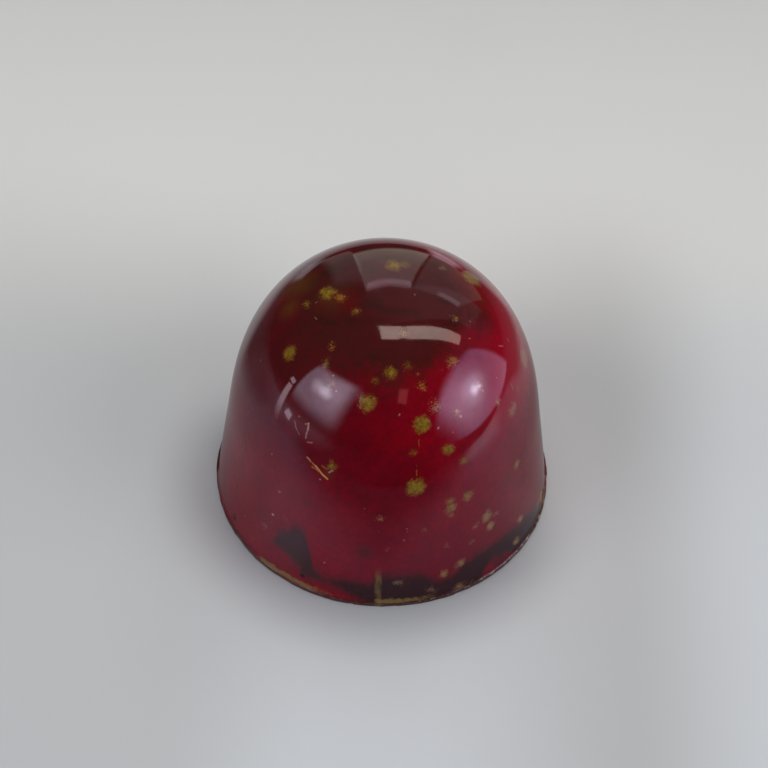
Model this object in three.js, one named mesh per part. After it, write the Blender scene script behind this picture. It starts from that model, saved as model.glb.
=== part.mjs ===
// Moulded chocolate praline: a tall round dome with a broad crown, standing on the thin uneven foot
// that is left where the filled mould was scraped level. It is one solid piece.
// Millimetres, +Z up. The origin is the middle of the flat underside, and -Y is the front.
import * as THREE from "three";

// Driving dimensions.
const height = 22.8;
const wallDiameter = 28.5; // of the drafted wall, carried down to the underside
const wallDraft = THREE.MathUtils.degToRad(7); // how far the wall leans in, so that the mould lets go
const crownStart = 8.6; // height at which the wall begins to round over into the crown
const crownPower = 2.8; // 2 would be an ellipse; more gives broader shoulders and a flatter top

// The foot is a thin flash of chocolate that stands proud of the wall.
const footHeight = 0.45;
const footEdge = 0.12; // rounding along its lower and upper edges
const footReach = 0.22; // how far it stands out, on average
const footLean = 0.1; // how much further it reaches on its wide side than on average
const footWideSide = THREE.MathUtils.degToRad(60); // measured from the front, towards +X
const footRipples = [
  { waves: 5, depth: 0.03, turn: 1.0 },
  { waves: 9, depth: 0.02, turn: 2.2 },
  { waves: 16, depth: 0.012, turn: 0.4 },
];

const stepsRound = 108;
const wallRings = 3;
const crownRings = 18;

// How far the scraped foot stands out from the wall at an angle round the praline.
function reachAt(angle) {
  const lean = footLean * Math.cos(angle - footWideSide);
  const ripple = footRipples.reduce(
    (sum, r) => sum + r.depth * Math.cos(r.waves * angle + r.turn),
    0,
  );
  return footReach + lean + ripple;
}

// Radius of the drafted wall at a height, before the crown rounds it over.
function wallRadius(z) {
  return wallDiameter / 2 - z * Math.tan(wallDraft);
}

// The foot's edge, from the underside up to the wall, as [radius, height] for a foot of average reach.
function footOutline() {
  const rim = wallRadius(0) + footReach;
  return [
    [0, 0],
    [rim - footEdge, 0],
    [rim, footEdge],
    [rim, footHeight - footEdge],
    [rim - footEdge / 2, footHeight],
  ];
}

// The straight wall between the foot and the crown.
function wallOutline() {
  const points = [];
  for (let i = 0; i < wallRings; i++) {
    const z = THREE.MathUtils.lerp(footHeight, crownStart, i / wallRings);
    points.push([wallRadius(z), z]);
  }
  return points;
}

// The crown: a superellipse over the leaning wall, ending on the axis.
function crownOutline() {
  const points = [];
  for (let i = 0; i < crownRings; i++) {
    const turn = (i / crownRings) * (Math.PI / 2);
    const rise = Math.sin(turn) ** (2 / crownPower);
    const z = THREE.MathUtils.lerp(crownStart, height, rise);
    points.push([wallRadius(z) * Math.cos(turn) ** (2 / crownPower), z]);
  }
  points.push([0, height]);
  return points;
}

// The whole outline turned about the axis, with the foot then drawn in and out round its edge.
function pralineGeometry() {
  const outline = [...footOutline(), ...wallOutline(), ...crownOutline()];
  const geometry = new THREE.LatheGeometry(
    outline.map(([radius, z]) => new THREE.Vector2(radius, z)),
    stepsRound,
  );
  geometry.rotateX(Math.PI / 2);

  const position = geometry.getAttribute("position");
  for (let i = 0; i < position.count; i++) {
    const [x, y] = [position.getX(i), position.getY(i)];
    const radius = Math.hypot(x, y);
    if (radius > wallRadius(0)) {
      const angle = Math.atan2(x, -y);
      const grown = (radius + reachAt(angle) - footReach) / radius;
      position.setXY(i, x * grown, y * grown);
    }
  }
  geometry.computeVertexNormals();
  return geometry;
}

const glossyRedCocoaButter = new THREE.MeshStandardMaterial({
  color: new THREE.Color().setRGB(0.24, 0.006, 0.016),
  roughness: 0.12,
  metalness: 0,
});

const praline = new THREE.Mesh(pralineGeometry(), glossyRedCocoaButter);
praline.name = "praline";

const part = new THREE.Group();
part.add(praline);

export default part;
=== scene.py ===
# A moulded chocolate praline: glossy crimson cocoa butter over dark chocolate, with yellow spatter.
import bisect
import math
import random

import bpy
from mathutils import Matrix, Vector, kdtree, noise


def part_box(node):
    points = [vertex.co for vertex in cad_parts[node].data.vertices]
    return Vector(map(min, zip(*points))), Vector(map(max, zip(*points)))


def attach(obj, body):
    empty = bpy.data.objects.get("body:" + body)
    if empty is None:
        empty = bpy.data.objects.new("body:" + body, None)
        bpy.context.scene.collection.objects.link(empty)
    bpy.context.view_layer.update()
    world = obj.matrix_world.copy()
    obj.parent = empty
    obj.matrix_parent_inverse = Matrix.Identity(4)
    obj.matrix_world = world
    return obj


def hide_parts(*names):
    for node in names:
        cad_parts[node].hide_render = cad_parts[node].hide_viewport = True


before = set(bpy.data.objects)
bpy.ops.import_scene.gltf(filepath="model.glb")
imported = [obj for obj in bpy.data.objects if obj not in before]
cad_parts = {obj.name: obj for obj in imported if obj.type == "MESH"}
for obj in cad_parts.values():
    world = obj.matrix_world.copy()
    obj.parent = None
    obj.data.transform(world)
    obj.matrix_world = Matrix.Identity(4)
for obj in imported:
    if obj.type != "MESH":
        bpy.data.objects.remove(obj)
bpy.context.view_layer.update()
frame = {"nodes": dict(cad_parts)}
print("frame loaded:", ", ".join(frame["nodes"]))

mm = 0.001
boxLow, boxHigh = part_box("praline")


def nothingSelected():
    if bpy.context.object and bpy.context.object.mode != "OBJECT":
        bpy.ops.object.mode_set(mode="OBJECT")
    bpy.ops.object.select_all(action="DESELECT")


def smoothStep(low, high, x):
    share = min(1.0, max(0.0, (x - low) / (high - low)))
    return share * share * (3 - 2 * share)


def direction(azimuth, elevation):
    # unit vector; azimuth 0 is the front (-Y) and 90 the right (+X), both in degrees
    turn, rise = math.radians(azimuth), math.radians(elevation)
    return Vector((math.sin(turn) * math.cos(rise), -math.cos(turn) * math.cos(rise), math.sin(rise)))


# the outline that the praline is turned from
shell = {
    "wallDraft": math.radians(7),
    "crownStart": 8.6 * mm,
    "crownPower": 2.8,  # 2 would be an ellipse; more gives broader shoulders
    "footReach": 0.12 * mm,  # how far the foot stands out from the wall, on average
    "flare": 0.12 * mm,  # how much the wall spreads just above the foot
    "flareTop": 7 * mm,
    "footHeight": 0.52 * mm,
    "stepsRound": 480,
    "ringGap": 0.2 * mm,
    "firstRing": 0.6 * mm,
    "floorRings": 12,
}
pralineHeight = boxHigh.z - boxLow.z
footRadius = (boxHigh.x - boxLow.x + boxHigh.y - boxLow.y) / 4
wallFoot = footRadius - shell["footReach"]

# the foot's section, as (share of its reach, height in mm), from the wall down to the underside
footSection = [
    (0.00, 0.52), (0.06, 0.46), (0.20, 0.43), (0.40, 0.425), (0.62, 0.42), (0.80, 0.40),
    (0.92, 0.35), (0.99, 0.28), (1.00, 0.20), (0.97, 0.12), (0.88, 0.05), (0.72, 0.01), (0.50, 0.0),
]


def wallRadius(z):
    drawnIn = shell["flare"] * smoothStep(0, shell["flareTop"], z)
    return wallFoot - drawnIn - z * math.tan(shell["wallDraft"])


def crownPoint(turn):
    # turn runs from 0 at the shoulder to a right angle at the top
    rise = max(0.0, math.sin(turn)) ** (2 / shell["crownPower"])
    z = shell["crownStart"] + (pralineHeight - shell["crownStart"]) * rise
    return Vector((wallRadius(z) * max(0.0, math.cos(turn)) ** (2 / shell["crownPower"]), 0, z))


def traceOutline(steps=3000):
    points = [crownPoint(math.pi / 2 * (1 - i / steps)) for i in range(steps + 1)]
    footTop = shell["footHeight"]
    points.append(Vector((wallRadius(footTop), 0, footTop)))
    lengths = [0.0]
    for a, b in zip(points, points[1:]):
        lengths.append(lengths[-1] + (b - a).length)
    return points, lengths


tracedPoints, tracedLengths = traceOutline()
outlineLength = tracedLengths[-1]


def outlineAt(down):
    # the point that lies this far down from the middle of the crown, measured over the surface
    i = min(max(bisect.bisect(tracedLengths, down), 1), len(tracedPoints) - 1)
    a, b = tracedLengths[i - 1], tracedLengths[i]
    return tracedPoints[i - 1].lerp(tracedPoints[i], (down - a) / (b - a))


def onSurface(azimuth, down):
    # azimuth in degrees from the front towards +X; down in mm from the middle of the crown
    point = outlineAt(down * mm)
    turn = math.radians(azimuth)
    return Vector((math.sin(turn) * point.x, -math.cos(turn) * point.x, point.z))


# each splash of yellow cocoa butter: azimuth, mm down from the crown's middle, mm across, how solid
splashes = [
    (173, 3.2, 1.9, 0.95), (160, 3.5, 1.5, 0.50), (118, 7.9, 2.3, 1.30), (-92, 4.9, 1.75, 1.15),
    (-85, 6.6, 1.3, 0.58), (-50, 3.3, 1.2, 0.55), (-60, 9.5, 1.7, 0.90), (-37, 8.1, 1.2, 0.50),
    (3, 7.5, 1.5, 0.72), (-6, 8.2, 0.9, 0.42), (14, 7.1, 1.1, 0.40), (-8, 9.9, 1.9, 0.90),
    (17, 11.8, 1.8, 1.20), (27, 14.5, 1.4, 0.85), (12, 14.1, 1.0, 0.45), (33, 16.1, 1.2, 0.60),
    (13, 17.4, 2.1, 1.30), (26, 20.5, 1.5, 0.95), (25.5, 19.6, 1.2, 0.70), (26.5, 21.3, 0.9, 0.50),
    (33, 19.9, 1.4, 0.80), (41, 23.4, 1.7, 1.00), (42, 24.9, 1.3, 1.00), (77, 29.2, 1.8, 1.10),
    (58, 27.4, 1.3, 0.85), (55, 29.3, 1.3, 0.80), (58, 20.5, 1.3, 0.80), (29, 27.4, 1.3, 0.75),
    (23, 27.9, 1.2, 0.80), (29, 30.2, 1.7, 0.58), (-19, 15.9, 1.3, 0.62),
]
# thin ones, more beige than yellow
faintSplashes = [
    (25, 10.7, 1.5, 0.62), (34, 11.8, 1.2, 0.60), (50, 10.9, 1.2, 0.62), (18, 4.3, 1.1, 0.55),
    (-29, 9.3, 1.1, 0.50), (62, 15.0, 1.4, 0.95), (55, 13.2, 0.9, 0.62), (67, 13.4, 0.8, 0.55),
    (70, 14.3, 0.8, 0.50), (72, 28.9, 1.2, 0.60), (7, 28.0, 0.9, 0.50), (18, 29.3, 1.1, 0.50),
    (45, 23.9, 0.9, 0.46), (36, 23.8, 1.0, 0.42), (34, 25.4, 0.8, 0.46), (-44, 26.2, 1.0, 0.40),
    (16, 22.2, 0.9, 0.34), (24, 24.7, 0.8, 0.36), (0, 20.5, 0.8, 0.50), (3, 24.0, 0.7, 0.44),
    (129, 5.7, 0.9, 0.50), (-35, 23.8, 0.8, 0.30), (19, 29.6, 0.9, 0.45), (86, 13.9, 2.3, 1.30),
    (118, 7.9, 1.8, 1.10),
]
# and orange ones
orangeSplashes = [
    (-41, 6.8, 1.1, 0.45), (95, 12.5, 1.0, 0.70), (-83, 3.9, 1.3, 0.80), (43, 8.0, 1.3, 0.72),
    (70, 5.8, 1.0, 0.60), (20, 8.8, 1.2, 0.66), (20, 7.9, 0.5, 0.50),
]

# soft clouds of overspray, without grain
hazes = [(-106, 8.0, 5.6, 0.75), (-61, 17.5, 2.4, 0.25), (-86, 4.6, 4.8, 0.55), (-88, 8.3, 3.6, 0.65),
         (-20.5, 16.8, 1.8, 0.50), (100, 8.0, 5.0, 0.30), (160, 15.0, 5.0, 0.30), (-150, 20.0, 4.0, 0.35)]
# soft dark places where the red is thin
thinPlaces = [(-5, 24.5, 2.6, 0.75), (46, 29.4, 3.0, 0.90), (4, 7.0, 5.0, 0.60),
              (-55, 9.0, 8.0, 0.75), (-84, 12.0, 8.0, 0.40), (84, 7.8, 4.4, 0.80)]
# and where the red lies over the brown crown
redPlaces = [(-73, 3.4, 3.4, 0.9), (-80, 5.4, 2.6, 0.6), (112, 9.0, 3.6, 0.9), (56, 6.8, 3.0, 0.8)]

# more yellow splashes, scattered over the far side
farSide = {
    "seed": 7,
    "zones": [(26, 98, 262, 17, 29.5), (8, 122, 238, 12, 17)],  # how many, azimuth and mm down, from and to
    "across": (0.8, 2.1),  # mm
    "solid": (0.45, 1.15),
}
scatter = random.Random(farSide["seed"])
for count, fromAzimuth, toAzimuth, highest, lowest in farSide["zones"]:
    for i in range(count):
        azimuth = scatter.uniform(fromAzimuth, toAzimuth)
        down = scatter.uniform(highest ** 2, lowest ** 2) ** 0.5
        across = scatter.uniform(*farSide["across"])
        splashes.append((azimuth, down, across, scatter.uniform(*farSide["solid"])))

# fine lines, the scratch and pale ones partly a painted highlight where their rough edges catch the light:
# azimuth and mm down of both ends, mm wide, strength, tone
scratches = [
    (-29.5, 16.0, -25, 16.6, 0.12, 0.75, "scratch"), (-25.6, 16.5, -20.5, 17.3, 0.15, 0.95, "scratch"),
    (-27, 16.7, -24, 16.9, 0.08, 0.50, "scratch"), (-23, 16.2, -21, 16.35, 0.14, 0.60, "orange"),
    (-20, 16.6, -18.8, 16.3, 0.12, 0.55, "pale"), (15, 13.0, 13, 16.2, 0.08, 0.50, "orange"),
    (-34, 13.3, -32.6, 13.15, 0.09, 0.45, "pale"), (-32.6, 13.15, -32.2, 13.6, 0.14, 0.70, "pale"),
    (-32.2, 13.6, -32, 14.4, 0.10, 0.50, "pale"), (-39, 13.6, -37, 14.1, 0.08, 0.40, "pale"),
    (-37, 14.1, -35, 14.4, 0.07, 0.35, "pale"), (75, 10.2, 77, 10.6, 0.08, 0.50, "pale"),
    (-31, 14.7, -29, 14.5, 0.09, 0.45, "pale"),
]
# painted glints, tiny bright specks standing for highlights: azimuth, mm down, mm across, strength
paintedGlints = [(-41, 24.2, 0.35, 1.0), (-25, 9.7, 0.3, 0.8), (-30, 8.7, 0.25, 0.7), (-45, 11.0, 0.25, 0.3),
          (24, 12.4, 0.3, 0.7), (-23, 17.6, 0.3, 0.6), (-39, 21.2, 0.35, 0.6), (34, 11.6, 0.45, 0.8),
          (35, 12.2, 0.35, 0.7), (50, 10.9, 0.45, 0.8), (50.5, 11.4, 0.3, 0.7), (55, 13.2, 0.4, 0.7)]
# small dents: azimuth, mm down, mm across, mm deep
dents = [(-60.7, 29.1, 0.7, 0.10), (-26.5, 29.2, 0.6, 0.08), (-39, 21.2, 0.4, 0.03), (-40, 23.5, 0.35, 0.03),
         (22, 15.2, 0.35, 0.03), (-12, 10.4, 0.35, 0.03), (60, 23.0, 0.4, 0.03)]


def drawOutline():
    # one point is extruded from place to place, from the top down the wall and under to the middle
    places = [Vector((0, 0, pralineHeight))]
    down = shell["firstRing"]
    while down < outlineLength - shell["ringGap"] / 2:
        places.append(outlineAt(down))
        down += shell["ringGap"]
    places += [Vector((wallFoot + share * shell["footReach"], 0, z * mm)) for share, z in footSection]
    edge = places[-1].x
    rings = shell["floorRings"]
    places += [Vector((edge * (1 - i / rings), 0, 0)) for i in range(1, rings + 1)]

    nothingSelected()
    bpy.ops.mesh.primitive_plane_add(size=mm, location=places[0])
    bpy.ops.object.transform_apply(location=True, rotation=True, scale=True)
    bpy.ops.object.mode_set(mode="EDIT")
    bpy.ops.mesh.merge(type="CENTER")
    for a, b in zip(places, places[1:]):
        bpy.ops.mesh.extrude_region_move(TRANSFORM_OT_translate={"value": b - a})
    bpy.ops.object.mode_set(mode="OBJECT")
    return bpy.context.object


def turnSolid(piece):
    bpy.ops.object.mode_set(mode="EDIT")
    bpy.ops.mesh.select_all(action="SELECT")
    bpy.ops.mesh.spin(steps=shell["stepsRound"], angle=2 * math.pi, center=(0, 0, 0), axis=(0, 0, 1))
    bpy.ops.mesh.select_all(action="SELECT")
    bpy.ops.mesh.remove_doubles(threshold=0.0005 * mm)
    bpy.ops.mesh.normals_make_consistent(inside=False)
    bpy.ops.object.mode_set(mode="OBJECT")


foot = {
    "average": 0.10,  # mm that it stands out
    "lean": 0.04,  # mm further out on the wide side than on average
    "wideSide": math.radians(60),
    "ripples": [(5, 0.02, 1.0), (9, 0.015, 2.2), (16, 0.01, 0.4)],  # waves round, mm, turn
    "roughness": 0.03,  # mm, of the torn edge
    "least": 0.02,  # mm
    "unevenTop": 0.22,  # share of its height
    "chips": 30,
    "chipHalfWidth": (0.15, 0.9),  # mm
    "chipDepth": (0.01, 0.06),  # mm
    "seed": 21,
}


def reachAt(turn, chips):
    reach = foot["average"] + foot["lean"] * math.cos(turn - foot["wideSide"])
    reach += sum(depth * math.cos(waves * turn + start) for waves, depth, start in foot["ripples"])
    edge = Vector((math.sin(turn), math.cos(turn), 0)) * footRadius / mm
    reach += foot["roughness"] * noise.noise(edge * 1.1)
    reach += foot["roughness"] * 0.8 * noise.noise(edge * 3.1)
    for middle, halfWidth, depth in chips:
        apart = abs((turn - middle + math.pi) % (2 * math.pi) - math.pi)
        reach -= depth * smoothStep(1.0, 0.45, apart / halfWidth)
    return max(foot["least"], reach)


def raggedFoot(piece):
    draw = random.Random(foot["seed"])
    chips = []
    for i in range(foot["chips"]):
        halfWidth = draw.uniform(*foot["chipHalfWidth"]) / (footRadius / mm)
        chips.append((draw.uniform(-math.pi, math.pi), halfWidth, draw.uniform(*foot["chipDepth"])))
    average = shell["footReach"] / mm
    for vertex in piece.data.vertices:
        x, y, z = vertex.co
        radius = math.hypot(x, y)
        if radius <= wallFoot or z > shell["footHeight"]:
            continue
        turn = math.atan2(x, -y)
        share = reachAt(turn, chips) / average
        grown = wallFoot + (radius - wallFoot) * share
        lift = 1 + foot["unevenTop"] * noise.noise(Vector((x, y, 0)) / mm * 0.6)
        vertex.co = (x * grown / radius, y * grown / radius, z * lift)


# how high the splashes swell and the wall waves, how long the waves are and where all this starts, in mm
marks = {"swell": 0.014, "waviness": 0.006, "waveSize": 5.0, "lowest": 0.7}


def handMarks(piece):
    # the mould's slight waviness, the low swell of the splashes, and small dents
    mesh = piece.data
    rest = [vertex.co.copy() for vertex in mesh.vertices]
    normals = [vertex.normal.copy() for vertex in mesh.vertices]
    raised = [0.0] * len(rest)
    tree = kdtree.KDTree(len(rest))
    for i, place in enumerate(rest):
        tree.insert(place, i)
        raised[i] = marks["waviness"] * noise.noise(place / mm / marks["waveSize"])
    tree.balance()
    for azimuth, down, across, solid in splashes + faintSplashes + orangeSplashes:
        radius = across / 2 * mm
        for place, i, distance in tree.find_range(onSurface(azimuth, down), radius):
            edge = 1 - (distance / radius) ** 2
            raised[i] += marks["swell"] * min(solid, 1) * edge * (0.6 + noise.noise(place / mm * 3))
    for azimuth, down, across, deep in dents:
        radius = across / 2 * mm
        for place, i, distance in tree.find_range(onSurface(azimuth, down), radius):
            raised[i] -= deep * smoothStep(1, 0, distance / radius)
    for vertex, place, normal, height in zip(mesh.vertices, rest, normals, raised):
        if place.z > marks["lowest"] * mm:
            vertex.co = place + normal * height * mm


def makePraline():
    piece = drawOutline()
    piece.name = "coatedPraline"
    turnSolid(piece)
    raggedFoot(piece)
    handMarks(piece)
    nothingSelected()
    piece.select_set(True)
    bpy.context.view_layer.objects.active = piece
    bpy.ops.object.shade_smooth()
    return piece


class Wire:
    # a socket that can be added, multiplied and so on, each making its Math node
    def __init__(self, finish, socket):
        self.finish = finish
        self.socket = socket

    def math(self, operation, *values):
        return self.finish.node("ShaderNodeMath", {"operation": operation}, dict(enumerate(values)))

    def __add__(self, other):
        return self.math("ADD", self, other)

    __radd__ = __add__

    def __sub__(self, other):
        return self.math("SUBTRACT", self, other)

    def __rsub__(self, other):
        return self.math("SUBTRACT", other, self)

    def __mul__(self, other):
        return self.math("MULTIPLY", self, other)

    __rmul__ = __mul__

    def __truediv__(self, other):
        return self.math("DIVIDE", self, other)

    def __abs__(self):
        return self.math("ABSOLUTE", self)

    def atLeast(self, other):
        return self.math("MAXIMUM", self, other)

    def atMost(self, other):
        return self.math("MINIMUM", self, other)


class Finish:
    def __init__(self, name):
        self.material = bpy.data.materials.new(name)
        self.material.use_nodes = True
        self.tree = self.material.node_tree
        self.tree.nodes.clear()

    def node(self, kind, settings=None, values=None, out=0):
        made = self.tree.nodes.new(kind)
        for name, value in (settings or {}).items():
            if name == "stops":
                self.setStops(made.color_ramp, value)
            else:
                setattr(made, name, value)
        for name, value in (values or {}).items():
            if isinstance(value, Wire):
                self.tree.links.new(value.socket, made.inputs[name])
            else:
                made.inputs[name].default_value = value
        return None if out is None else Wire(self, made.outputs[out])

    def setStops(self, ramp, stops):
        ramp.interpolation = "EASE"
        while len(ramp.elements) < len(stops):
            ramp.elements.new(0.5)
        for element, (place, value) in zip(ramp.elements, stops):
            element.position = place
            element.color = (value, value, value, 1)

    def objectPlace(self):
        # the place on the piece, in mm
        place = self.node("ShaderNodeTexCoord", out="Object")
        return self.scaled(place, 1000)

    def parts(self, vector):
        first = self.node("ShaderNodeSeparateXYZ", {}, {"Vector": vector})
        return [Wire(self, socket) for socket in first.socket.node.outputs]

    def scaled(self, vector, size):
        return self.node("ShaderNodeVectorMath", {"operation": "SCALE"}, {0: vector, "Scale": size})

    def vector(self, operation, a, b, out=0):
        return self.node("ShaderNodeVectorMath", {"operation": operation}, {0: a, 1: b}, out)

    def noise(self, place, scale, detail=2.0, roughness=0.5, out="Fac"):
        values = {"Vector": place, "Scale": scale, "Detail": detail, "Roughness": roughness}
        return self.node("ShaderNodeTexNoise", {}, values, out)

    def cells(self, place, scale, out="Distance"):
        return self.node("ShaderNodeTexVoronoi", {}, {"Vector": place, "Scale": scale}, out)

    def between(self, value, low, high):
        # 0 up to low, 1 from high on, and smooth in between
        settings = {"interpolation_type": "SMOOTHSTEP"}
        values = {"Value": value, "From Min": low, "From Max": high}
        return self.node("ShaderNodeMapRange", settings, values)

    def mixed(self, share, a, b):
        return self.node("ShaderNodeMix", {"data_type": "RGBA"}, {0: share, 6: a, 7: b}, 2)

    def round(self, azimuth, stops):
        # a value that changes round the praline: stops are (degrees, value), from -180 to 180
        low = min(value for degrees, value in stops)
        high = max(value for degrees, value in stops)
        places = [((degrees + 180) / 360, (value - low) / (high - low)) for degrees, value in stops]
        share = self.node("ShaderNodeValToRGB", {"stops": places}, {"Fac": azimuth / 360 + 0.5})
        return share * (high - low) + low

    def finished(self, **values):
        inputs = {name.replace("_", " "): value for name, value in values.items()}
        surface = self.node("ShaderNodeBsdfPrincipled", {}, inputs)
        self.node("ShaderNodeOutputMaterial", {}, {"Surface": surface}, out=None)
        return self.material


def linear(red, green, blue):
    # a colour given as it looks on a screen, 0 to 255, in the linear values that shaders use
    def one(value):
        share = value / 255
        return share / 12.92 if share <= 0.04045 else ((share + 0.055) / 1.055) ** 2.4
    return (one(red), one(green), one(blue), 1.0)


tones = {
    "crimson": linear(140, 3, 23),
    "scarlet": linear(178, 14, 42),
    "maroon": linear(88, 2, 16),
    "brownRed": linear(84, 14, 18),
    "crownBrown": linear(69, 24, 22),
    "darkChocolate": linear(50, 26, 17),
    "bareBand": linear(54, 32, 25),
    "bandShade": linear(42, 22, 14),
    "yellow": linear(148, 122, 28),
    "olive": linear(112, 84, 24),
    "halo": linear(112, 58, 26),
    "beige": linear(160, 124, 94),
    # the peach tone paints glints on the splashes' beads; pale also paints glints
    "glintPeach": linear(214, 156, 116),
    "orange": linear(156, 100, 32),
    "haze": linear(92, 52, 22),
    "scratch": linear(214, 150, 84),
    "pale": linear(208, 150, 142),
    "lipEdge": linear(70, 34, 25),
    "lipTan": linear(140, 118, 66),
    "lipPaleHighlight": linear(178, 156, 128),
    "pitShade": linear(22, 4, 8),
    "scraped": linear(74, 40, 30),
}

# height in mm of the top and the bottom of the band near the foot that the red missed, round the praline
bareTop = [(-180, 1.2), (-160, 2.6), (-140, 0.9), (-118, 0.0), (-100, 1.4), (-80, 0.0), (-41.5, 0.5),
           (-39, 4.3), (-35, 5.6), (-30.5, 6.9), (-27.5, 6.8), (-24.8, 5.2), (-22.4, 2.8), (-18, 2.3),
           (-12, 2.7), (-3, 2.8), (1.5, 3.6), (10, 3.6), (15, 3.3), (21, 2.1), (25, 2.2), (32, 3.3),
           (37, 3.6), (50, 3.4), (61, 2.9), (70, 2.2), (80, 0.3), (95, 0.0), (118, 2.2), (145, 3.4),
           (163, 1.0), (180, 1.2)]
bareBottom = [(-180, -1.0), (-50, -1.0), (-43, 4.0), (-39.5, 3.6), (-34.5, 3.2), (-29.5, 2.5),
              (-26, 1.5), (-20, 1.7), (-13, 1.5), (-8, 0.9), (-4, 0.3), (-2, -1.0), (35, -1.0),
              (39, 1.3), (43, 1.9), (48, 1.6), (51, 0.8), (54, 0.1), (58, -1.0), (180, -1.0)]
# how much yellow lies along the top of the foot, round the praline
footTan = [(-180, 0.2), (-150, 0.7), (-120, 0.1), (-60, 0.0), (-47, 0.1), (-42, 1.0), (-25, 0.95),
           (-20, 0.4), (-8, 0.15), (-1, 0.2), (0, 0.9), (9, 0.85), (16, 0.55), (24, 0.1), (30, 0.3),
           (50, 0.1), (68, 0.3), (76, 0.6), (90, 0.2), (130, 0.7), (160, 0.1), (180, 0.2)]
# and how pale its edge is, partly chipped cream and partly a painted highlight
footPaleHighlight = [(-180, 0.3), (-90, 0.1), (10, 0.1), (18, 0.75), (24, 0.8), (36, 0.7), (50, 1.0), (80, 1.0),
            (110, 0.3), (180, 0.3)]


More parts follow.
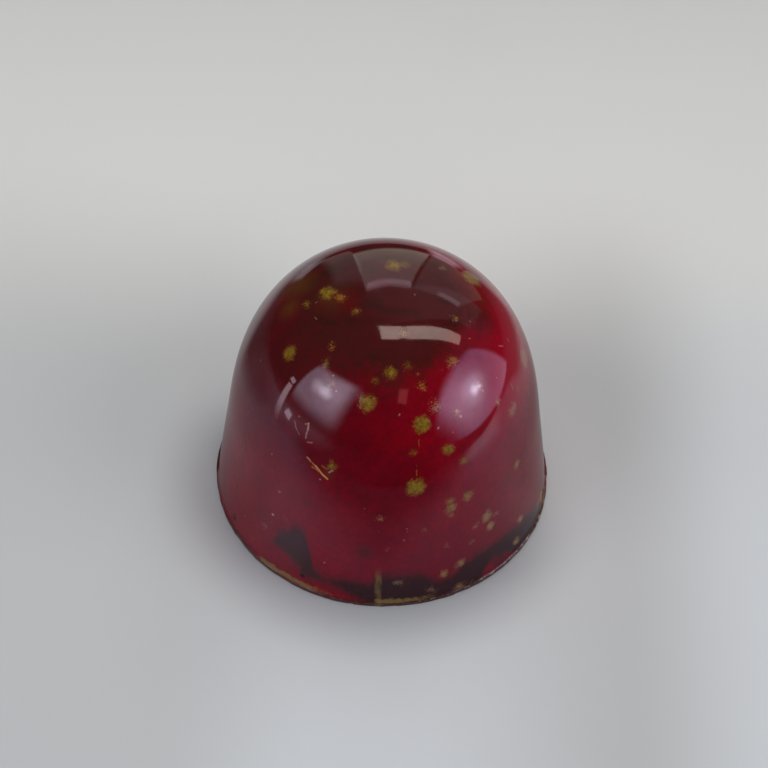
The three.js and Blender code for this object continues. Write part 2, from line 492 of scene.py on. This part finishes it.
class Coat(Finish):
    # the coloured cocoa butter, laid on in layers from the red up
    def __init__(self):
        super().__init__("colouredCocoaButter")
        self.place = self.objectPlace()
        self.x, self.y, self.z = self.parts(self.place)
        self.azimuth = self.x.math("ARCTAN2", self.x, 0 - self.y) * (180 / math.pi)
        self.broad = self.noise(self.place, 0.16, 3, 0.55)
        self.soft = self.noise(self.place, 0.42, 2, 0.5)
        self.fine = self.noise(self.place, 2.2, 3, 0.6)
        self.grain = self.noise(self.place, 8.0, 3, 0.6)
        self.dust = self.noise(self.place, 9.0, 1, 0.5)
        shift = self.vector("SUBTRACT", self.noise(self.place, 1.0, 4, 0.68, "Color"), (0.5, 0.5, 0.5))
        self.warped = self.vector("ADD", self.place, self.scaled(shift, 1.15))
        self.crooked = self.vector("ADD", self.place, self.scaled(shift, 0.35))
        self.layRed()
        self.layBareChocolate()
        self.laySpatter()
        self.layFoot()
        self.layScratches()

    def layOver(self, share, tone):
        self.colour = self.mixed(share, self.colour, tone)

    def spots(self, places, place=None):
        # 1 or more in the middle of a spot, falling to 0 at its rim; the strongest spot wins
        found = None
        for azimuth, down, across, solid in places:
            middle = onSurface(azimuth, down) / mm
            distance = self.vector("DISTANCE", place or self.place, middle, "Value")
            cone = self.node("ShaderNodeMath", {"operation": "MULTIPLY_ADD"},
                             {0: distance, 1: -solid / (across / 2), 2: solid})
            found = cone if found is None else found.atLeast(cone)
        return found

    def fineLine(self, azimuthA, downA, azimuthB, downB, width):
        # 1 along a line from one place on the praline to another, falling to 0 this wide of it
        a, b = onSurface(azimuthA, downA) / mm, onSurface(azimuthB, downB) / mm
        along = b - a
        fromA = self.vector("SUBTRACT", self.crooked, a)
        share = self.vector("DOT_PRODUCT", fromA, along / along.length_squared, "Value")
        nearest = self.scaled(tuple(along), share.atLeast(0).atMost(1))
        distance = self.vector("DISTANCE", fromA, nearest, "Value")
        return 1 - self.between(distance, width * 0.2, width)

    def layRed(self):
        # deepest in front and on the left, brightest on the right shoulder
        left = 1 - self.between(self.z * 0.6 + self.x, 8, 17)
        upper = self.between(self.z, 9, 15)
        middle = 1 - self.between(abs(self.x), 2, 8)
        lowDepth = middle * 0.18 + 0.30
        depth = left * (lowDepth + upper * (0.78 - lowDepth))
        depth = depth + (self.broad - 0.5) * 0.8 + (self.soft - 0.5) * 0.6 + (self.fine - 0.5) * 0.7
        # and a little deeper again low on the right
        lowRight = self.between(self.x, 4, 8) * (1 - self.between(self.z, 14, 17))
        depth = depth + (self.grain - 0.5) * 0.5 + lowRight * 0.20
        self.colour = self.mixed(depth, tones["crimson"], tones["maroon"])
        self.layOver((self.fine - 0.5) * 0.5 + 0.1, tones["brownRed"])
        strands = self.noise(self.vector("MULTIPLY", self.place, (1.4, 1.4, 0.22)), 1.3, 3, 0.65)
        self.layOver(self.between(strands, 0.50, 0.78) * 0.40, tones["brownRed"])
        flecks = self.between(self.grain, 0.60, 0.78)
        self.layOver(flecks * 0.16, tones["halo"])
        rightShoulder = self.between(self.x, 7.3, 9.5) * self.between(self.z, 13.5, 18)
        self.layOver(rightShoulder * 0.55, tones["scarlet"])
        upperLeft = self.between(0 - self.x, 1, 7) * self.between(self.z, 14, 18)
        self.layOver(upperLeft * 0.40, tones["crownBrown"])
        thin = self.between(self.spots(thinPlaces) + (self.fine - 0.5) * 0.6, 0.0, 0.7)
        self.layOver(thin * 0.65, tones["crownBrown"])

    def layBareChocolate(self):
        # where the red missed, dark chocolate shows: on the crown and in a ragged band above the foot
        level = self.vector("MULTIPLY", self.place, (1.0, 1.0, 0.0))
        fromMiddle = self.vector("DISTANCE", level, (-0.2, -0.6, 0.0), "Value")
        crownEdge = 7.0 - fromMiddle + (self.soft - 0.5) * 2.6 + (self.fine - 0.5) * 1.3
        onCrown = self.between(crownEdge, -1.4, 1.4) * self.between(self.z, 12, 14)
        blotches = self.noise(self.vector("MULTIPLY", self.place, (0.55, 1.0, 1.0)), 0.85, 4, 0.6)
        blotch = self.between(blotches, 0.45, 0.70)
        crownTone = self.mixed(blotch, tones["crownBrown"], tones["darkChocolate"])
        red = self.between(self.spots(redPlaces) + (self.fine - 0.5) * 0.5, 0.0, 0.8)
        self.layOver(onCrown * (1 - red * 0.6) * 0.90, crownTone)
        wobble = (self.soft - 0.5) * 0.5 + (self.fine - 0.5) * 0.6
        askew = self.azimuth + (self.soft - 0.5) * 2.5 + (self.fine - 0.5) * 2.5
        belowTop = self.between(self.round(askew, bareTop) + wobble - self.z, -0.8, 0.8)
        aboveBottom = self.between(self.z + wobble * 0.6 - self.round(askew, bareBottom), -0.7, 0.7)
        bandTone = self.mixed(self.between(self.x, -6, -2), tones["bareBand"], tones["bandShade"])
        self.layOver(belowTop * aboveBottom * 0.93, bandTone)

    def laySpatter(self):
        # soft overspray, then the splashes: a thin halo, a more solid middle and tiny bright beads, which are
        # painted glints
        self.layOver(self.between(self.spots(hazes) + (self.fine - 0.5) * 0.3, 0.0, 0.9), tones["haze"])
        speckle = self.grain - 0.5
        glintBeads = self.between(self.dust, 0.60, 0.74)
        field = self.spots(splashes, self.warped)
        halo = self.between(field + speckle * 0.9, 0.0, 0.6)
        core = self.between(field + speckle * 1.0, 0.08, 0.80)
        self.layOver(halo * 0.45, tones["halo"])
        patchy = self.noise(self.place, 3.2, 2, 0.7)
        mottle = self.mixed(self.between(patchy, 0.32, 0.70), tones["olive"], tones["yellow"])
        # those low on the right are nearer to beige
        lowRight = self.between(self.x, 4, 7) * (1 - self.between(self.z, 9, 12))
        mottle = self.mixed(lowRight * 0.70, mottle, tones["beige"])
        self.layOver(core * 0.9, mottle)
        faint = self.spots(faintSplashes, self.warped)
        faintSpot = self.between(faint + speckle * 1.7, 0.10, 0.60)
        self.layOver(faintSpot * 0.55, tones["beige"])
        orange = self.spots(orangeSplashes, self.warped)
        orangeSpot = self.between(orange + speckle * 1.6, 0.16, 0.60)
        self.layOver(orangeSpot * 0.75, tones["orange"])
        anySpot = field.atLeast(faint).atLeast(orange)
        self.glintBead = glintBeads * self.between(anySpot, 0.05, 0.35)
        # the beads are painted glints, pale specks of highlight on the splashes
        self.layOver(self.glintBead * 0.22, tones["glintPeach"])
        self.painted = core.atLeast(faintSpot * 0.3).atLeast(orangeSpot * 0.6)

    def layFoot(self):
        # the scraped edge is dark, with a tan line on top and pale places, partly chipped and partly a
        # painted highlight, and one streak runs up
        level = self.vector("MULTIPLY", self.place, (1.0, 1.0, 0.0))
        away = self.vector("LENGTH", level, (0, 0, 0), "Value")
        wall = wallFoot / mm
        proud = self.between(away, wall - 0.02, wall + 0.05) * (1 - self.between(self.z, 0.5, 0.7))
        self.layOver(proud * 0.9, tones["lipEdge"])
        askew = self.azimuth + (self.fine - 0.5) * 6
        tan = self.round(askew, footTan) * (1 - self.between(self.z + (self.fine - 0.5) * 0.8, 0.60, 1.05))
        tan = tan * self.between(self.z, 0.37, 0.47)
        self.layOver(self.between(tan + (self.grain - 0.5) * 1.2, 0.2, 0.9) * 0.70, tones["lipTan"])
        warm = self.round(askew, footTan) * proud * self.between(self.grain, 0.40, 0.62)
        self.layOver(warm * 0.35, tones["halo"])
        # the pale line along the edge is partly chipped cream, partly a painted highlight
        pale = self.round(self.azimuth, footPaleHighlight) * self.between(away, wall + 0.03, wall + 0.08)
        pale = pale * self.between(self.z, 0.26, 0.36)
        broken = self.between(self.noise(self.place, 1.6, 3, 0.7) + (self.grain - 0.5) * 0.5, 0.50, 0.62)
        self.layOver(pale * broken * 0.95, tones["lipPaleHighlight"])
        side = abs(self.azimuth - 0.2 + (self.soft - 0.5) * 2.4 + (self.fine - 0.5) * 1.0)
        streak = 1 - self.between(side, 0.5, 1.6)
        streak = streak * (1 - self.between(self.z + (self.soft - 0.5) * 3, 3.0, 4.8))
        self.layOver(streak * 0.42 * self.between(self.fine, 0.2, 0.6), tones["lipTan"])
        self.painted = self.painted.atLeast(tan * 0.7).atLeast(streak * 0.4)

    def layScratches(self):
        # the scratches are partly painted highlight: their bright tones stand for light caught on their edges
        for *ends, width, strength, tone in scratches:
            share = self.fineLine(*ends, width)
            self.layOver(share * strength * self.between(self.grain, 0.22, 0.48), tones[tone])
        # painted glints: these specks are painted highlights
        glintSpot = self.between(self.spots(paintedGlints, self.crooked), 0.1, 0.6)
        self.layOver(glintSpot * 0.8, tones["pale"])
        # the two deepest dents, by the foot, have painted shade inside
        shadedDents = [(azimuth, down, across * 1.2, 1.0) for azimuth, down, across, deep in dents[:2]]
        self.layOver(self.between(self.spots(shadedDents), 0.15, 0.6) * 0.85, tones["pitShade"])
        # tiny pale flecks scattered over the coat, painted glints
        cell = self.cells(self.place, 0.9, "Color")
        chance = self.node("ShaderNodeSeparateColor", {}, {0: cell})
        glintFleck = 1 - self.between(self.cells(self.warped, 0.9), 0.04, 0.11)
        self.layOver(glintFleck * self.between(chance, 0.80, 0.84) * 0.35, tones["pale"])


def coatedChocolate():
    coat = Coat()
    smear = coat.noise(coat.place, 0.35, 3, 0.6)
    roughness = 0.05 + coat.between(smear, 0.45, 0.75) * 0.04 + coat.painted * 0.07
    height = coat.noise(coat.place, 3.2, 2, 0.6) * (coat.painted * 0.22 + 0.018) + coat.glintBead * 0.08
    bump = coat.node("ShaderNodeBump", {}, {"Strength": 0.6, "Distance": 0.00008, "Height": height})
    return coat.finished(Base_Color=coat.colour, Roughness=roughness, IOR=1.41,
                         Specular_Tint=(1.0, 0.88, 1.45, 1), Normal=bump)


def scrapedChocolate():
    finish = Finish("scrapedDarkChocolate")
    place = finish.objectPlace()
    drawn = finish.vector("MULTIPLY", place, (0.35, 6.0, 1.0))
    scrape = finish.noise(drawn, 0.6, 4, 0.65)
    patch = finish.noise(place, 0.5, 3, 0.55)
    grain = finish.noise(place, 9.0, 2, 0.6)
    colour = finish.mixed(finish.between(scrape * 0.6 + patch * 0.4, 0.4, 0.62),
                          tones["darkChocolate"], tones["scraped"])
    roughness = 0.34 + (grain - 0.5) * 0.2 + (scrape - 0.5) * 0.25
    bump = finish.node("ShaderNodeBump", {}, {
        "Strength": 0.6, "Distance": 0.0001, "Height": scrape + grain * 0.15,
    })
    return finish.finished(Base_Color=colour, Roughness=roughness, IOR=1.45, Normal=bump)


# the underside, and what curls under at its edge, is scraped chocolate without the coat
underside = {"flatBelow": 0.03 * mm, "edgeBelow": 0.3 * mm, "facingDown": -0.2}

praline = makePraline()
print("praline turned:", len(praline.data.vertices), "vertices,", len(praline.data.polygons), "faces")
praline.data.materials.append(coatedChocolate())
praline.data.materials.append(scrapedChocolate())
for face in praline.data.polygons:
    height, facing = face.center.z, face.normal.z
    curledUnder = facing < underside["facingDown"] and height < underside["edgeBelow"]
    if height < underside["flatBelow"] or curledUnder:
        face.material_index = 1
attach(praline, "root")
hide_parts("praline")
print("finishes laid on")


# the pale stone that it stands on, with painted light and shade: lighter behind the praline, bluish in front,
# duller far off and on either side, and shaded round it
stone = {
    "across": 3.0,
    "below": 0.01 * mm,  # a hair under the praline
    "front": (0.77, 0.80, 0.84, 1),
    "behind": (0.90, 0.90, 0.895, 1),
    "farAway": (0.66, 0.66, 0.66, 1),
    # the tones of the painted shade on either side
    "right": (0.40, 0.39, 0.38, 1),
    "left": (0.40, 0.39, 0.37, 1),
    "cloudy": (0.50, 0.50, 0.50, 1),
    "shaded": (0.30, 0.29, 0.32, 1),
}


def makeFloor():
    nothingSelected()
    bpy.ops.mesh.primitive_plane_add(size=stone["across"], location=(0, 0, boxLow.z - stone["below"]))
    floor = bpy.context.object
    floor.name = "paleFloor"
    finish = Finish("paleStone")
    place = finish.objectPlace()
    across, depth, _ = finish.parts(place)
    cloud = finish.noise(place, 0.012, 4, 0.6)
    # painted light: lighter behind the praline than in front, where the tint is a bluish painted shade, and
    # duller far off
    behind = finish.between(depth + (cloud - 0.5) * 30, 0, 30)
    tint = finish.mixed(behind, stone["front"], stone["behind"])
    tint = finish.mixed(finish.between(depth, 30, 120), tint, stone["farAway"])
    # painted shade on either side as far back as the praline, but clear again further out on the right
    beside = 1 - finish.between(depth, 10, 40)
    rightShade = finish.between(across, 4, 22) * beside * (1 - finish.between(across, 20, 33))
    tint = finish.mixed(rightShade * 0.42, tint, stone["right"])
    leftShade = finish.between(0 - across, 4, 18) * beside
    tint = finish.mixed(leftShade * 0.30, tint, stone["left"])
    tint = finish.mixed(finish.between(cloud, 0.45, 0.8) * 0.10, tint, stone["cloudy"])
    # the praline's own shade, next to it in front
    away = finish.vector("LENGTH", place, (0, 0, 0), "Value")
    shaded = (1 - finish.between(away, 13, 21)) * (1 - finish.between(depth + across * 0.5, -6, 6))
    tint = finish.mixed(shaded * 0.62, tint, stone["shaded"])
    floor.data.materials.append(finish.finished(Base_Color=tint, Roughness=0.65, IOR=1.2))


def onlyGlossSees(made):
    made.visible_camera = False
    made.visible_diffuse = False
    made.visible_shadow = False


# each card that the gloss mirrors, by its four corners in mm. "soft" is how much of the card the fade at
# an edge takes, for the edges between corners 1 and 2, 4 and 3, 1 and 4, 2 and 3. "belly" is how many mm
# the last two of these edges bow outwards. A glow is (middle in mm, size in mm, added brightness), and it
# has the card's tint where no glowTint is given.
cards = {
    "leftWindow": {
        "corners": [(-124, -35, 22), (-89, -24, 104), (-26, -80, 114), (-66, -113, 17)],
        "light": 2.65, "tint": (0.92, 0.95, 0.80), "soft": (0.06, 0.30, 0.30, 0.18),
        "glows": [((-66, -68, 78), 50, 2.9), ((-76, -61, 69), 15, 8.0), ((-85, -51, 69), 17, 4.5)],
        "glowTint": (0.92, 0.98, 0.72),
    },
    "rightWindow": {
        "corners": [(72, 12, 72), (87, 32, 8), (68, -68, 6), (53, -81, 18)], "belly": (30, 3),
        "light": 1.7, "tint": (0.96, 0.76, 0.92), "soft": (0.06, 0.34, 0.20, 0.04),
        "glows": [((65, -33, 40), 44, 3.6), ((70, -19, 35), 8, 14.0), ((70, -20, 37), 20, 5.0)],
        "glowTint": (0.90, 0.91, 0.76),
    },
    "ceilingBar": {
        "corners": [(-8, 49, 131), (88, 34, 102), (90, 18, 104), (-6, 23, 139)],
        "light": 4.1, "tint": (1.10, 0.97, 0.53), "soft": (0.03, 0.03, 0.02, 0.02),
        "glows": [((-4, 36, 135), 110, 1.7)],
    },
    "leftStrip": {
        "corners": [(-53, -12, 27), (-51, -16, 28), (-50, -17, 1.5), (-52, -12, 1.5)],
        "light": 3.6, "tint": (1.15, 1.0, 0.78), "soft": (0.05, 0.75, 0.18, 0.18),
    },
    "leftStripTop": {
        "corners": [(-52, -11, 28.5), (-51, -12, 32), (-50, -16, 31), (-51, -15, 27.5)],
        "light": 3.8, "tint": (1.15, 1.0, 0.78), "soft": (0.1, 0.1, 0.1, 0.1),
    },
    "leftDiamond": {
        "corners": [(-51, -19, 11), (-51, -21, 15), (-49, -25, 14), (-49, -24, 9)],
        "light": 3.8, "tint": (1.15, 1.0, 0.78), "soft": (0.08, 0.08, 0.08, 0.08),
    },
    "leftDado": {
        "corners": [(-72, 16, 0.6), (-72, 16, 26), (-40, -72, 26), (-40, -72, 0.6)],
        "light": 0.55, "tint": (1.05, 0.97, 0.85), "soft": (0.7, 0.35, 0.45, 0.55),
    },
    "frontCard": {
        "corners": [(22, -78, 116), (37, -76, 113), (35, -102, 88), (20, -102, 93)],
        "light": 0.75, "tint": (2.6, 0.78, 0.45), "soft": (0.12, 0.12, 0.12, 0.12),
    },
    "farWall": {
        "corners": [(-25, 120, 34), (26, 121, 20), (11, 85, 104), (-11, 82, 107)], "belly": (3.5, 3.5),
        "light": 1.0, "tint": (1.05, 1.02, 0.74), "soft": (0.15, 0.02, 0.02, 0.02),
    },
    "farSill": {
        "corners": [(-11, 87, 102), (11.5, 90, 99), (11.5, 85, 106.5), (-11, 82, 109.5)],
        "light": 1.1, "tint": (1.50, 1.0, 0.85), "soft": (0.3, 0.1, 0.05, 0.02),
    },
    "backLeftWall": {
        "corners": [(-46, 106, 9), (-24.5, 115, 17), (-11.5, 77, 102), (-44, 77, 90)],
        "light": 0.35, "tint": (1.0, 1.0, 0.8), "soft": (0.1, 0.2, 0.4, 0.02),
    },
    "sideWall": {
        "corners": [(26.6, 121, 16), (82, 95, 32), (67, 73, 93), (11.8, 84, 105.5)], "belly": (-3.8, 2),
        "light": 0.36, "tint": (1.0, 1.0, 0.76), "soft": (0.08, 0.02, 0.02, 0.02),
    },
    "sideSill": {
        "corners": [(36, 87, 96), (69, 80, 82), (66, 73, 91), (33, 83, 102)],
        "light": 1.0, "tint": (1.10, 1.0, 0.8), "soft": (0.35, 0.1, 0.2, 0.1),
    },
    "dimCeiling": {
        "corners": [(-33, 76, 116), (94, 84, 44), (98, 48, 85), (-14, 51, 132)],
        "light": 0.24, "tint": (1.3, 1.0, 0.8), "soft": (0.15, 0.03, 0.4, 0.1),
    },
    "rightRoom": {
        "corners": [(50, -60, 100), (60, 45, 108), (88, 80, 25), (102, 10, 25)],
        "light": 0.11, "tint": (0.5, 1.0, 1.15), "soft": (0.4, 0.4, 0.4, 0.3),
    },
    "backRightSlab": {
        "corners": [(9, 65, 5), (29, 60, 11), (28, 60, 24), (14, 64, 25)],
        "light": 0.95, "tint": (1.30, 0.95, 1.05), "soft": (0.35, 0.04, 0.3, 0.35),
    },
    "backLeftSlab": {
        "corners": [(-39, 53, 6), (-20, 62.5, 3), (-21, 62, 21), (-39, 53.5, 24)],
        "light": 0.7, "tint": (0.97, 1.0, 1.0), "soft": (0.5, 0.25, 0.25, 0.5),
    },
    "brightFloor": {
        "corners": [(29, -33, 0.6), (35, -7, 0.6), (105, 2, 0.6), (46, -40, 0.6)],
        "light": 0.8, "tint": (1.0, 0.97, 0.8), "soft": (0.4, 0.08, 0.25, 0.5),
    },
}


def makeCard(name, card):
    nothingSelected()
    bpy.ops.mesh.primitive_grid_add(x_subdivisions=8, y_subdivisions=8, size=1)
    made = bpy.context.object
    made.name = name
    a, b, c, d = (Vector(corner) for corner in card["corners"])
    aside = (b - a).normalized()
    bellyA, bellyB = card.get("belly", (0, 0))
    for loop, spread in zip(made.data.loops, made.data.uv_layers.active.data):
        u, v = spread.uv
        bulge = 4 * v * (1 - v) * (u * bellyB - (1 - u) * bellyA)
        place = a.lerp(b, u).lerp(d.lerp(c, u), v) + aside * bulge
        made.data.vertices[loop.vertex_index].co = place * mm
    finish = Finish(name)
    across, up, _ = finish.parts(finish.node("ShaderNodeTexCoord", out="UV"))
    firstSide, lastSide, start, end = card["soft"]
    share = finish.between(across, 0, start) * (1 - finish.between(across, 1 - end, 1))
    share = share * finish.between(up, 0, firstSide) * (1 - finish.between(up, 1 - lastSide, 1))
    place = finish.objectPlace()
    share = share * (finish.noise(place, 0.10, 3, 0.6) * 0.4 + 0.8)
    glow = 0
    for middle, size, brighter in card.get("glows", []):
        apart = finish.vector("DISTANCE", place, middle, "Value")
        glow = (1 - finish.between(apart, 0.0, size)) * brighter + glow
    colour = finish.scaled(card["tint"], share * card["light"])
    if "glows" in card:
        bright = finish.scaled(card.get("glowTint", card["tint"]), share * glow)
        colour = finish.vector("ADD", colour, bright)
    shine = finish.node("ShaderNodeEmission", {}, {"Color": colour})
    clear = finish.node("ShaderNodeBsdfTransparent")
    both = finish.node("ShaderNodeAddShader", {}, {0: shine, 1: clear})
    finish.node("ShaderNodeOutputMaterial", {}, {"Surface": both}, out=None)
    made.data.materials.append(finish.material)
    onlyGlossSees(made)


# a dark ground that only the gloss sees, standing for the dark things round the praline
darkGround = {
    "across": 1.6,
    "lift": 0.4 * mm,
    "tone": (0.01, 0.01, 0.01, 1),
    # degrees round it from the front, mm out to where it starts and where it is full, and how dark it is
    "outer": [
        (-180, 120, 200, 0.90), (-158, 90, 200, 0.90), (-144, 40, 100, 0.80), (-120, 17, 42, 0.85),
        (-104, 19, 48, 0.60), (-92, 24, 62, 0.48), (-80, 50, 100, 0.25), (-62, 45, 90, 0.45),
        (-45, 36, 66, 0.66), (-25, 28, 52, 0.88), (0, 26, 44, 0.95), (25, 28, 48, 0.95), (45, 34, 66, 0.90),
        (62, 44, 80, 0.80), (78, 66, 80, 0.82), (95, 78, 110, 0.72), (115, 34, 62, 0.70),
        (140, 27, 60, 0.78), (158, 80, 160, 0.85), (168, 110, 200, 0.90), (180, 120, 200, 0.90),
    ],
    # how dark it is close by, where the praline shades it: degrees round and darkness
    "close": [
        (-180, 0.32), (-66, 0.38), (-50, 0.12), (-38, 0.05), (-26, 0.33), (-12, 0.34), (0, 0.30), (20, 0.36),
        (35, 0.38), (50, 0.32), (70, 0.19), (86, 0.40), (110, 0.44), (140, 0.34), (180, 0.32),
    ],
    "closeReach": (15, 46),  # mm out to where that begins to fade and where it is gone
    "frontReach": (8, 29),  # mm forward to where the dark front starts and where it is full
    "frontDark": 0.80,
}


def makeDarkGround():
    nothingSelected()
    bpy.ops.mesh.primitive_plane_add(size=darkGround["across"], location=(0, 0, darkGround["lift"]))
    made = bpy.context.object
    made.name = "darkGround"
    finish = Finish("darkGround")
    place = finish.objectPlace()
    x, y, _ = finish.parts(place)
    toFront = 0 - y
    azimuth = x.math("ARCTAN2", x, toFront) * (180 / math.pi)
    away = finish.vector("LENGTH", place, (0, 0, 0), "Value")
    outer = darkGround["outer"]
    starts = finish.round(azimuth, [(degrees, start) for degrees, start, full, dark in outer])
    fulls = finish.round(azimuth, [(degrees, full) for degrees, start, full, dark in outer])
    amounts = finish.round(azimuth, [(degrees, dark) for degrees, start, full, dark in outer])
    far = finish.between(away, starts, fulls) * amounts
    front = finish.between(toFront - abs(x) * 0.35, *darkGround["frontReach"]) * darkGround["frontDark"]
    close = (1 - finish.between(away, *darkGround["closeReach"])) * finish.round(azimuth, darkGround["close"])
    card = finish.node("ShaderNodeBsdfDiffuse", {}, {"Color": darkGround["tone"]})
    clear = finish.node("ShaderNodeBsdfTransparent")
    dark = far.atLeast(front).atLeast(close)
    mix = finish.node("ShaderNodeMixShader", {}, {0: dark, 1: clear, 2: card})
    finish.node("ShaderNodeOutputMaterial", {}, {"Surface": mix}, out=None)
    made.data.materials.append(finish.material)
    onlyGlossSees(made)


# lamps that light the floor and the praline but don't show in the gloss. "from" is azimuth and elevation
# in degrees, "away" and "across" are in metres and "power" is in watts.
lamps = {
    "skyLamp": {
        "from": (172, 67), "away": 0.62, "across": 0.60, "power": 1.68, "colour": (1.0, 0.985, 0.96),
    },
    "leftLamp": {
        "from": (-58, 38), "away": 0.45, "across": 0.30, "power": 0.54, "colour": (0.94, 0.96, 1.0),
    },
    "rightLamp": {
        "from": (66, 34), "away": 0.45, "across": 0.30, "power": 0.50, "colour": (0.98, 0.97, 0.98),
    },
    "frontLamp": {
        "from": (-4, 44), "away": 0.60, "across": 0.45, "power": 0.68, "colour": (0.90, 0.95, 1.0),
    },
}


def makeLamp(name, lamp):
    nothingSelected()
    towards = direction(*lamp["from"])
    middle = Vector((0, 0, pralineHeight / 2))
    bpy.ops.object.light_add(type="AREA", location=middle + towards * lamp["away"],
                             rotation=towards.to_track_quat("Z", "Y").to_euler())
    made = bpy.context.object
    made.name = name
    made.data.size = lamp["across"]
    made.data.energy = lamp["power"]
    made.data.color = lamp["colour"]
    made.visible_glossy = False
    made.visible_camera = False


dimRoom = (0.034, 0.033, 0.027, 1)


def makeWorld():
    world = bpy.data.worlds.new("dimRoom")
    world.use_nodes = True
    background = world.node_tree.nodes["Background"]
    background.inputs["Color"].default_value = dimRoom
    background.inputs["Strength"].default_value = 1.0
    bpy.context.scene.world = world


# degrees up and of roll, metres from the praline's middle, and the lens and its sensor in mm
viewFrom = {"elevation": 49.1, "roll": 2.1, "distance": 0.180, "lens": 100.8, "sensor": 36,
            "shift": (-0.0013, 0.0026)}


def makeCamera():
    data = bpy.data.cameras.new("camera")
    data.lens = viewFrom["lens"]
    data.sensor_width = viewFrom["sensor"]
    data.clip_start = 0.01
    data.shift_x, data.shift_y = viewFrom["shift"]
    camera = bpy.data.objects.new("camera", data)
    bpy.context.scene.collection.objects.link(camera)
    target = Vector((0, 0, pralineHeight / 2))
    back = direction(0, viewFrom["elevation"])
    tilt = Matrix.Rotation(math.radians(90 - viewFrom["elevation"]), 4, "X")
    roll = Matrix.Rotation(math.radians(viewFrom["roll"]), 4, "Z")
    camera.matrix_world = Matrix.Translation(target + back * viewFrom["distance"]) @ tilt @ roll
    bpy.context.scene.camera = camera


makeFloor()
for cardName, cardFacts in cards.items():
    makeCard(cardName, cardFacts)
makeDarkGround()
for lampName, lampFacts in lamps.items():
    makeLamp(lampName, lampFacts)
makeWorld()
makeCamera()
bpy.context.scene.view_settings.view_transform = "Standard"
print("studio set")
